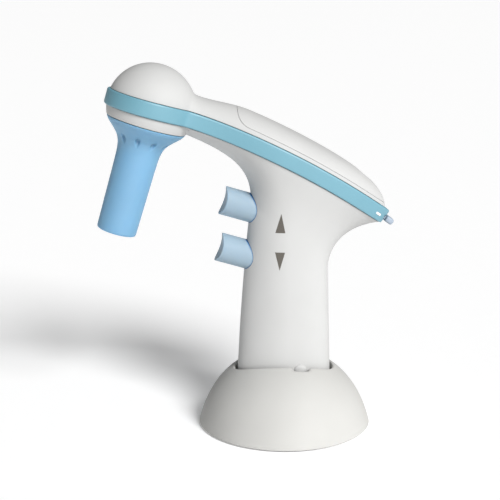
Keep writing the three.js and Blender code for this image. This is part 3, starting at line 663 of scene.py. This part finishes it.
def pipette_holder():
    """The silicone sleeve in the nose, with soft ribs round its mouth that grip the pipette."""
    throat, throat_height, mouth, mouth_height = 3, 24, 5.5, 1.2
    rib_depth, rib_pitch = 0.25, 3.4
    sleeve = [(mouth + 0.1, 0.8), (7.9, 0.8), (7.9, 40.5), (4, 40.5), (throat, 36), (throat, throat_height)]
    ribs = []
    for height in np.linspace(throat_height, mouth_height, 60):
        share = (throat_height - height) / (throat_height - mouth_height)
        straight = throat + (mouth - throat) * share
        ribs.append((straight - rib_depth * math.cos(height * 2 * math.pi / rib_pitch), height))
    return loft("holder", turned_rings(rounded(sleeve, 0.3, 3) + ribs, 72), matrix=NOSE)


# ---------- triggers ----------
def trigger(name, along, front):
    """A thumb trigger: a round plunger whose front face is dished across, with a softened lip."""
    dish_radius = (TRIGGER_RADIUS ** 2 + TRIGGER_DISH ** 2) / (2 * TRIGGER_DISH)
    rear = TRIGGER_LENGTH - front
    turn = full_turn(96)

    def ring(x, radius):
        return np.stack([x + 0 * turn, radius * np.cos(turn), along + radius * np.sin(turn)], axis=-1)

    def face(radius):
        height = radius * np.sin(turn)
        return -front - dish_radius + TRIGGER_DISH + np.sqrt(dish_radius ** 2 - height ** 2)

    lip, edge, hollow_depth, hollow_radius = 0.55, 0.2, 7, 5.1
    flange, flange_front = TRIGGER_FLANGE, rear - 1.6
    rows = [(rear - hollow_depth, hollow_radius), (rear - edge, hollow_radius), (rear, hollow_radius + edge),
            (rear, flange - edge), (rear - edge, flange), (flange_front + edge, flange),
            (flange_front, flange - edge), (flange_front, TRIGGER_RADIUS)]
    rings = [ring(x, radius) for x, radius in rows]
    for t in np.linspace(0, 1, 14)[1:]:
        side_end = face(TRIGGER_RADIUS) + lip
        rings.append(ring(flange_front + (side_end - flange_front) * t, TRIGGER_RADIUS))
    for angle in np.linspace(0, math.pi / 2, 7)[1:]:
        radius = TRIGGER_RADIUS - lip * (1 - math.cos(angle))
        rings.append(ring(face(radius) + lip * (1 - math.sin(angle)), radius))
    for radius in np.linspace(TRIGGER_RADIUS - lip, 0, 14)[1:-1]:
        rings.append(ring(face(radius), radius))
    start = (rear - hollow_depth, 0, along)
    end = (TRIGGER_DISH - front, 0, along)
    return loft(name, rings, start, end, 50, THUMB)


def spring_ends(front):
    """Where a return spring starts, in its trigger, and ends, at the valve."""
    return TRIGGER_LENGTH - front - SPRING_IN_TRIGGER, -VALVE_FRONT - SPRING_OFF_VALVE


def trigger_spring(name, along, front):
    """The return spring between the trigger and the valve: a helix of round wire with closed ends."""
    start, end = spring_ends(front)
    wire, coil, turns, steps = 0.4, 3.6, 6, 20
    count = turns * steps
    t = np.arange(count + 1) / count
    angle = 2 * math.pi * turns * t
    centre = np.stack([start + (end - start) * smoothstep(t, -0.1, 1.1), coil * np.cos(angle),
                       along + coil * np.sin(angle)], axis=-1)
    tangent = np.gradient(centre, axis=0)
    tangent /= np.linalg.norm(tangent, axis=1)[:, None]
    outward = np.stack([0 * t, np.cos(angle), np.sin(angle)], axis=-1)
    across = np.cross(tangent, outward)
    ring = full_turn(10)[None, :, None]
    rings = centre[:, None] + wire * (np.cos(ring) * outward[:, None] + np.sin(ring) * across[:, None])
    return loft(name, rings, centre[0], centre[-1], matrix=THUMB)


# ---------- stand ----------
def dome_height(radius, inset):
    """The dome is a little flatter on top than an ellipse."""
    share = np.clip(radius / (DOME_RADIUS - inset), 0, 1)
    return (DOME_TOP + DOME_DROP - inset) * np.sqrt(1 - share ** DOME_FLATNESS) - DOME_DROP


def stand_body():
    """The domed stand: outer skin, soft lip round the handle's slot, the cup below it, hollow underside."""
    turn = full_turn(240)
    slot = handle_point(turn, SOCKET_RIM + 0 * turn, -SOCKET_PLAY)[:, :2]
    cup = handle_point(turn, SOCKET_RIM + 0 * turn, -SOCKET_PLAY - SOCKET_WALL)[:, :2]
    outward = slot / np.linalg.norm(slot, axis=1)[:, None]
    level = (DOME_SKIRT + DOME_DROP) / (DOME_TOP + DOME_DROP)
    foot = DOME_RADIUS * (1 - level ** 2) ** (1 / DOME_FLATNESS)
    reach = foot - np.linalg.norm(slot, axis=1)
    lip = 1.5
    notch_depth, notch_half_width, notch_floor, notch_end = 4.2, KEY_RADIUS + 0.6, 1.2, 3.6

    def ring(plan, height):
        return np.concatenate([plan, np.broadcast_to(height, (len(turn),))[:, None]], axis=1)

    def skin(distance):
        """Plan points and height of the outer skin at a distance from the slot, with lip and notch."""
        plan = slot + outward * distance[:, None]
        height = dome_height(np.linalg.norm(plan, axis=1), 0)
        short = np.clip(lip - distance, 0, lip)
        height = height - (lip - np.sqrt(lip * lip - short * short))
        by_key = np.exp(-((plan[:, 0] - KEY_X) / notch_half_width) ** 4) * (plan[:, 1] < 0)
        return plan, height - notch_depth * by_key * (1 - smoothstep(distance, notch_floor, notch_end))

    rings = [ring(slot * share, SOCKET_FLOOR) for share in (0.3, 0.6, 0.9)]
    rim = skin(0 * turn)[1]
    for share in (0, 0.03, 0.3, 0.6, 0.9, 1):
        rings.append(ring(slot, SOCKET_FLOOR + (rim - SOCKET_FLOOR) * share))
    for angle in np.linspace(0, math.pi / 2, 8)[1:]:
        rings.append(ring(*skin(lip * (1 - math.cos(angle)) + 0 * turn)))
    for share in np.linspace(0, 1, 44)[1:]:
        rings.append(ring(*skin(lip + (reach - lip) * share ** 0.9)))
    edge_width, edge_height = 0.5, 0.3
    for angle in np.linspace(0, math.pi / 2, 4)[1:]:
        rings.append(ring(outward * (foot - edge_width * (1 - math.cos(angle))),
                          DOME_SKIRT - edge_height * math.sin(angle)))
    inner = foot - DOME_WALL
    rings.append(ring(outward * inner, DOME_SKIRT - edge_height))
    cup_radius = np.linalg.norm(cup, axis=1)
    for share in np.linspace(0, 1, 12)[1:]:
        radius = inner + (cup_radius - inner) * share
        rings.append(ring(outward * radius[:, None], dome_height(radius, DOME_WALL)))
    cup_bottom = SOCKET_FLOOR - SOCKET_FLOOR_WALL
    rings += [ring(cup * share, cup_bottom) for share in (1, 0.6, 0.3)]
    return loft("stand", rings, (0, 0, SOCKET_FLOOR), (0, 0, cup_bottom), 50)


def stand_pad():
    """The rubber pad under the stand, with shallow concentric grooves."""
    edge, depth, floor_half, mouth_half, spacing = 0.15, 0.2, 1, 1.2, 5
    profile = [(0, PAD_HEIGHT), (PAD_RADIUS - edge, PAD_HEIGHT), (PAD_RADIUS, PAD_HEIGHT - edge),
               (PAD_RADIUS, edge), (PAD_RADIUS - edge, 0)]
    for radius in np.arange(38, 8, -spacing):
        profile += [(radius + mouth_half, 0), (radius + floor_half, depth),
                    (radius - floor_half, depth), (radius - mouth_half, 0)]
    return turned("pad", profile + [(0, 0)], segments=180, sharp_degrees=25)


# ---------- screws and cells ----------
def shell_screw(index, x, z):
    """A pan-head cross-recess screw in its counterbore on the right side."""
    across = Matrix.Translation((x, 0, z)) @ Matrix.Rotation(-math.pi / 2, 4, "X")
    head = [(2.5, 6.4), (2.5, 7.4), (2.3, 7.9), (1.7, 8.25), (0.9, 8.4), (0, 8.4)]
    profile = [(0, -8.4), (1.25, -8.2), (1.25, 6.4)] + head
    screw = turned(f"shell_screw_{index}", profile, across, 48)
    wing_reach, wing_half_width, wing_bottom = 1.5, 0.28, 7.5
    for turn in (0, math.pi / 2):
        wing = block((-wing_reach, -wing_half_width, wing_bottom), (wing_reach, wing_half_width, 9))
        wing.data.transform(to_metres(across @ Matrix.Rotation(turn, 4, "Z")))
        cut(screw, wing)
    smooth(screw)
    return screw


def cell(name, side):
    """One battery cell with its crimped ends and button."""
    matrix = frame_at(CELL_ALONG, CELL_RISE) @ Matrix.Translation((0, side * (CELL_RADIUS + 0.2), 0))
    matrix = matrix @ Matrix.Rotation(side * math.pi / 2, 4, "Y")
    top = CELL_HALF - 1.1
    wrap, crimp = CELL_RADIUS, CELL_RADIUS - 0.35
    can = [(0, -CELL_HALF), (4.6, -CELL_HALF), (wrap - 0.1, 0.4 - CELL_HALF), (wrap, 1.2 - CELL_HALF),
           (wrap, top - 2.4), (crimp, top - 2.1), (crimp, top - 1.6), (wrap, top - 1.3), (wrap, top - 0.5)]
    button = [(4.7, top), (1.9, top), (1.9, CELL_HALF - 0.2), (1.7, CELL_HALF), (0, CELL_HALF)]
    return turned(name, can + button, matrix, 72, 30)


# ---------- prints ----------
def arrow_print(name, corners, shell):
    """A thin printed triangle lying on the left shell. Corners are (x, z)."""
    a, b, c = [np.array(corner, float) for corner in corners]
    steps, lift, sink = 14, 0.03, 0.06
    points, index = [], {}
    for i in range(steps + 1):
        for j in range(steps + 1 - i):
            x, z = a + (b - a) * i / steps + (c - a) * j / steps
            found, spot, normal, _ = shell.ray_cast(Vector((x, -60, z)) * MM, Vector((0, 1, 0)))
            assert found
            index[i, j] = len(points)
            points.append((np.array(spot) + lift * MM * np.array(normal)) / MM)
    under = len(points)
    points += [point + np.array([0, sink, 0]) for point in points]
    tops = []
    for i in range(steps):
        for j in range(steps - i):
            tops.append((index[i, j], index[i + 1, j], index[i, j + 1]))
            if j < steps - i - 1:
                tops.append((index[i + 1, j], index[i + 1, j + 1], index[i, j + 1]))
    faces = tops + [tuple(k + under for k in reversed(top)) for top in tops]
    rim = [index[i, 0] for i in range(steps)] + [index[steps - j, j] for j in range(steps)]
    rim += [index[0, steps - j] for j in range(steps)]
    for k, first in enumerate(rim):
        second = rim[(k + 1) % len(rim)]
        faces.append((first, second, second + under, first + under))
    return mesh_piece(name, points, faces)


# ---------- materials ----------
def new_material(name):
    material = bpy.data.materials.new(name)
    material.use_nodes = True
    return material, material.node_tree, material.node_tree.nodes["Principled BSDF"]


def set_inputs(node, values):
    """Sets a node's inputs, each to a plain value or to another node's output."""
    for name, value in values.items():
        if isinstance(value, bpy.types.NodeSocket):
            node.id_data.links.new(value, node.inputs[name])
        else:
            node.inputs[name].default_value = value


def add_node(tree, kind, values):
    node = tree.nodes.new(kind)
    set_inputs(node, values)
    return node


def own_place(tree):
    """Where a point is in its piece's own coordinates, in metres."""
    return tree.nodes.new("ShaderNodeTexCoord").outputs["Object"]


def noise(tree, scale, detail=2.0, roughness=0.5):
    texture = add_node(tree, "ShaderNodeTexNoise", {
        "Vector": own_place(tree), "Scale": scale, "Detail": detail, "Roughness": roughness})
    return texture.outputs["Fac"]


def spread(tree, value, low, high):
    """Maps the middle of a noise to a range of values."""
    node = add_node(tree, "ShaderNodeMapRange", {
        "Value": value, "From Min": NOISE_LOW, "From Max": NOISE_HIGH, "To Min": low, "To Max": high})
    return node.outputs["Result"]


def tint(tree, value, colour, variation):
    """A colour that drifts a little with a noise."""
    ramp = add_node(tree, "ShaderNodeValToRGB", {"Fac": value})
    stops = ((NOISE_LOW, 1 - variation), (NOISE_HIGH, 1 + variation))
    for element, (position, share) in zip(ramp.color_ramp.elements, stops):
        element.position = position
        element.color = [*(min(channel * share, 1) for channel in colour), 1]
    return ramp.outputs["Color"]


def bump(tree, value, height):
    """Relief of a height in millimetres."""
    return add_node(tree, "ShaderNodeBump", {"Height": value, "Distance": height * MM}).outputs["Normal"]


def moulded_plastic(name, colour, gloss=0.42, grain=0.25, depth=0.012, variation=0.02, shine=0.5):
    """Satin moulded plastic: a fine spark-eroded grain, slightly uneven gloss and faint colour drift."""
    material, tree, shader = new_material(name)
    set_inputs(shader, {
        "Specular IOR Level": shine,
        "Base Color": tint(tree, noise(tree, 45, 3), colour, variation),
        "Roughness": spread(tree, noise(tree, 160, 4, 0.6), gloss - 0.04, gloss + 0.05),
        "Normal": bump(tree, noise(tree, 1 / (grain * MM), 2), depth),
    })
    return material


def milky_plastic(name, colour, shine):
    """Translucent tinted plastic under a matt skin, in which light wanders a little."""
    material = moulded_plastic(name, colour, 0.62, 0.3, 0.01, 0.03, shine)
    set_inputs(material.node_tree.nodes["Principled BSDF"], {
        "Subsurface Weight": 0.6, "Subsurface Radius": (0.6, 0.8, 1), "Subsurface Scale": 2 * MM})
    return material


def paint_shade_by_walls(material, colour):
    """Painted shade: close to another part, as found by an ambient occlusion node, the colour is mixed
    towards a deep blue.
    """
    tree = material.node_tree
    shader = tree.nodes["Principled BSDF"]
    # painted shade: ambient occlusion decides where the colour goes deep blue
    open_sky = add_node(tree, "ShaderNodeAmbientOcclusion", {"Distance": 1.2 * MM}).outputs["AO"]
    mix = tree.nodes.new("ShaderNodeMix")
    mix.data_type = "RGBA"
    shade = add_node(tree, "ShaderNodeMapRange", {"Value": open_sky, "From Min": 0.65, "From Max": 0.95})
    set_inputs(mix, {
        "Factor": shade.outputs["Result"],
        "A": [*colour, 1],
        "B": shader.inputs["Base Color"].links[0].from_socket,
    })
    set_inputs(shader, {"Base Color": mix.outputs["Result"]})
    return material


def metal(name, colour, gloss=0.3):
    """Plain turned or rolled metal with fine scratches."""
    material, tree, shader = new_material(name)
    scratches = noise(tree, 900, 4, 0.7)
    set_inputs(shader, {
        "Metallic": 1,
        "Base Color": tint(tree, noise(tree, 120, 3), colour, 0.05),
        "Roughness": spread(tree, scratches, gloss - 0.08, gloss + 0.12),
        "Normal": bump(tree, scratches, 0.006),
    })
    return material


def soft_rubber(name, colour, gloss=0.7, scatter=0.0):
    """Dusty rubber, or silicone with light scattering in it."""
    material, tree, shader = new_material(name)
    dust = noise(tree, 700, 5, 0.65)
    set_inputs(shader, {
        "Base Color": tint(tree, noise(tree, 90, 4), colour, 0.12),
        "Roughness": spread(tree, dust, gloss - 0.1, gloss + 0.12),
        "Normal": bump(tree, dust, 0.03),
        "Subsurface Weight": scatter,
        "Subsurface Scale": 2 * MM,
    })
    return material


def printed_ink(name, colour):
    """Pad-printed ink, a little broken up by the grain below it."""
    material, tree, shader = new_material(name)
    speck = noise(tree, 2600, 3, 0.6)
    set_inputs(shader, {
        "Base Color": tint(tree, speck, colour, 0.16),
        "Roughness": spread(tree, speck, 0.5, 0.65),
        "Normal": bump(tree, speck, 0.01),
    })
    return material


def circuit_material(name, colour):
    """Solder mask with faint tracks in two directions."""
    material, tree, shader = new_material(name)
    tracks = add_node(tree, "ShaderNodeTexBrick", {
        "Vector": own_place(tree),
        "Scale": 260,
        "Mortar Size": 0.06,
        "Color1": [*colour, 1],
        "Color2": [*(channel * 0.8 for channel in colour), 1],
        "Mortar": [*(min(channel * 2.2, 1) for channel in colour), 1],
    })
    set_inputs(shader, {
        "Base Color": tracks.outputs["Color"],
        "Roughness": spread(tree, noise(tree, 300, 3), 0.3, 0.45),
        "Normal": bump(tree, tracks.outputs["Fac"], 0.03),
    })
    return material


def paint(piece, material):
    piece.data.materials.clear()
    piece.data.materials.append(material)


def dress(piece, body, slot, material, *nodes):
    """Gives a piece its material, rides it on its body and lets it stand for its CAD nodes; the slot is not
    used.
    """
    paint(piece, material)
    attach(piece, body)
    if nodes:
        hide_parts(*nodes)
    return piece


WHITE = moulded_plastic("white_shell", (0.535, 0.535, 0.528), 0.62, shine=0.25)
STAND_WHITE = moulded_plastic("stand_white", (0.535, 0.53, 0.51), 0.62, 0.3, shine=0.25)
BAND_BLUE = moulded_plastic("band_blue", (0.135, 0.335, 0.42), 0.5, shine=1.1)
NOSE_BLUE = milky_plastic("nose_blue", (0.145, 0.355, 0.55), 1.4)
# the trigger's blue carries painted shade, deep blue where it meets the handle
THUMB_BLUE_PAINTED_SHADE = paint_shade_by_walls(milky_plastic("thumb_blue_painted_shade", (0.31, 0.41, 0.49), 0.4), (0.01, 0.14, 0.40))
LILAC = moulded_plastic("slider_lilac", (0.35, 0.41, 0.49), 0.5)
WINDOW = moulded_plastic("light_window", (0.86, 0.88, 0.88), 0.2, 0.6, 0.004)
INNER = moulded_plastic("inner_grey", (0.16, 0.17, 0.19), 0.5, 0.35, 0.02, 0.06)
CELL_WRAP = moulded_plastic("cell_wrap", (0.05, 0.09, 0.14), 0.25, 0.6, 0.006, 0.05)
FILTER = moulded_plastic("filter_white", (0.78, 0.78, 0.75), 0.65, 0.2, 0.03, 0.04)
STEEL = metal("steel", (0.62, 0.63, 0.65))
BRASS = metal("brass", (0.72, 0.56, 0.28), 0.34)
RUBBER = soft_rubber("black_rubber", (0.035, 0.035, 0.038))
SILICONE = soft_rubber("silicone", (0.62, 0.66, 0.68), 0.5, 0.3)
BOARD = circuit_material("board_green", (0.03, 0.16, 0.07))
INK = printed_ink("arrow_ink", (0.11, 0.099, 0.084))

CAD_MATERIALS = (
    (STEEL, ("base_plate", "base_screw", "aspirate_stem", "dispense_stem", "motor", "motor_shaft",
             "contact_front", "contact_rear")),
    (INNER, ("nose_socket", "valve_block", "wobble_plate", "pump_housing", "pump_head", "battery_tray",
             "mode_switch", "charge_jack")),
    (RUBBER, ("nose_gasket", "aspirate_seal", "dispense_seal", "diaphragm")),
    (SILICONE, ("suction_hose", "pressure_hose", "nose_hose")),
    (FILTER, ("filter",)),
    (BRASS, ("eccentric",)),
    (BOARD, ("circuit_board",)),
)


# ---------- pieces ----------
def build_stand():
    dress(stand_body(), "stand", "stand_plastic", STAND_WHITE, "stand_dome")
    dress(stand_pad(), "stand", "black_rubber", RUBBER, "base_pad")


def build_shells():
    left, right = handle_shells()
    dress(left, "controller", "white_plastic", WHITE, "handle_shell_left")
    dress(right, "controller", "white_plastic", WHITE, "handle_shell_right")
    shell, cover = top_shells()
    dress(shell, "controller", "white_plastic", WHITE, "upper_shell")
    dress(cover, "battery_cover", "white_plastic", WHITE, "battery_cover")
    dress(trim_band(), "controller", "band_blue", BAND_BLUE, "trim_band")
    dress(charge_light(), "controller", "light_window", WINDOW, "charge_light")
    for i, (x, z) in enumerate(SCREWS, 1):
        dress(shell_screw(i, x, z), "controller", "steel", STEEL, f"handle_screw_{i}")
    for name, corners in ARROWS.items():
        dress(arrow_print(f"arrow_{name}", corners, left), "controller", "inner_plastic", INK)


def build_nose():
    dress(nose_cone(), "nose_cone", "nose_blue", NOSE_BLUE, "nose_cone")
    dress(pipette_holder(), "nose_carrier", "silicone", SILICONE, "pipette_holder")


def build_triggers():
    for name, (along, front) in TRIGGERS.items():
        piece = trigger(f"{name}_button", along, front)
        dress(piece, f"{name}_trigger", "nose_blue", THUMB_BLUE_PAINTED_SHADE, f"{name}_trigger")
        coil = trigger_spring(f"{name}_coil", along, front)
        dress(coil, "controller", "steel", STEEL, f"{name}_spring")
        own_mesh(coil)


def build_electrics():
    dress(mode_slider(), "mode_slider", "slider_lilac", LILAC, "mode_slider")
    for i, side in enumerate((-1, 1), 1):
        dress(cell(f"battery_{i}", side), "controller", "cell_wrap", CELL_WRAP, f"cell_{i}")


def finish_cad_nodes():
    """The inner CAD parts stay as they are and get their materials."""
    for name, piece in frame["nodes"].items():
        for material, kinds in CAD_MATERIALS:
            if name.rstrip("_123") in kinds:
                paint(piece, material)
                smooth(piece, 30)


# ---------- scene ----------
def look_at(thing, target):
    """Turns a camera or a light to face a point."""
    thing.rotation_mode = "QUATERNION"
    thing.rotation_quaternion = (Vector(target) - thing.location).to_track_quat("-Z", "Y")


def add_camera():
    data = bpy.data.cameras.new("camera")
    data.lens = CAMERA_LENS
    data.sensor_width = SENSOR_WIDTH
    camera = add_object("camera", data)
    camera.location = Vector(CAMERA_SPOT) * MM
    look_at(camera, Vector(CAMERA_AIM) * MM)
    bpy.context.scene.camera = camera


def add_sun(name, azimuth, elevation, strength, spread_degrees):
    """A distant soft light. Azimuth 0 comes from -Y and 90 from +X, in degrees."""
    data = bpy.data.lights.new(name, "SUN")
    data.energy = strength
    data.angle = math.radians(spread_degrees)
    light = add_object(name, data)
    across, up = math.radians(azimuth), math.radians(elevation)
    light.location = (math.sin(across) * math.cos(up), -math.cos(across) * math.cos(up), math.sin(up))
    look_at(light, (0, 0, 0))


def add_floor():
    """A wide sheet of white paper just under the stand, lit a little from below."""
    data = bpy.data.meshes.new("floor")
    half, drop = 25, 0.2 * MM
    corners = [(-half, -half, 0), (half, -half, 0), (half, half, 0), (-half, half, 0)]
    data.from_pydata(corners, [], [(0, 1, 2, 3)])
    floor = add_object("floor", data)
    floor.location.z = -drop
    paper = moulded_plastic("floor_paper", (0.97, 0.97, 0.97), 0.8, 0.8, 0.01, 0.004)
    set_inputs(paper.node_tree.nodes["Principled BSDF"], {
        "Emission Color": (1, 1, 1, 1), "Emission Strength": 0.2})
    paint(floor, paper)


def add_studio():
    """A white room, brighter to the right and lower down, and a soft key light. The camera sees white."""
    world = bpy.data.worlds.new("studio")
    bpy.context.scene.world = world
    world.use_nodes = True
    tree = world.node_tree
    direction = tree.nodes.new("ShaderNodeTexCoord").outputs["Generated"]
    split = add_node(tree, "ShaderNodeSeparateXYZ", {"Vector": direction})
    strength = tree.nodes.new("ShaderNodeMath")
    strength.operation = "MULTIPLY"
    ranges = (("X", -1, 1, 0.17, 0.4), ("Z", 0, 1, 1.15, 0.3))
    for i, (axis, start, end, low, high) in enumerate(ranges):
        brightness = add_node(tree, "ShaderNodeMapRange", {
            "Value": split.outputs[axis], "From Min": start, "From Max": end, "To Min": low, "To Max": high})
        tree.links.new(brightness.outputs["Result"], strength.inputs[i])
    camera_ray = tree.nodes.new("ShaderNodeLightPath").outputs["Is Camera Ray"]
    seen = add_node(tree, "ShaderNodeMix", {"Factor": camera_ray, "A": strength.outputs["Value"], "B": 1})
    set_inputs(tree.nodes["Background"], {"Strength": seen.outputs["Result"], "Color": (1, 1, 1, 1)})
    add_sun("key", 28, 35, 1.17 * math.pi, 24)
    bpy.context.scene.view_settings.view_transform = "Standard"


add_camera()
build_stand()
build_shells()
build_nose()
build_triggers()
build_electrics()
finish_cad_nodes()
add_floor()
add_studio()
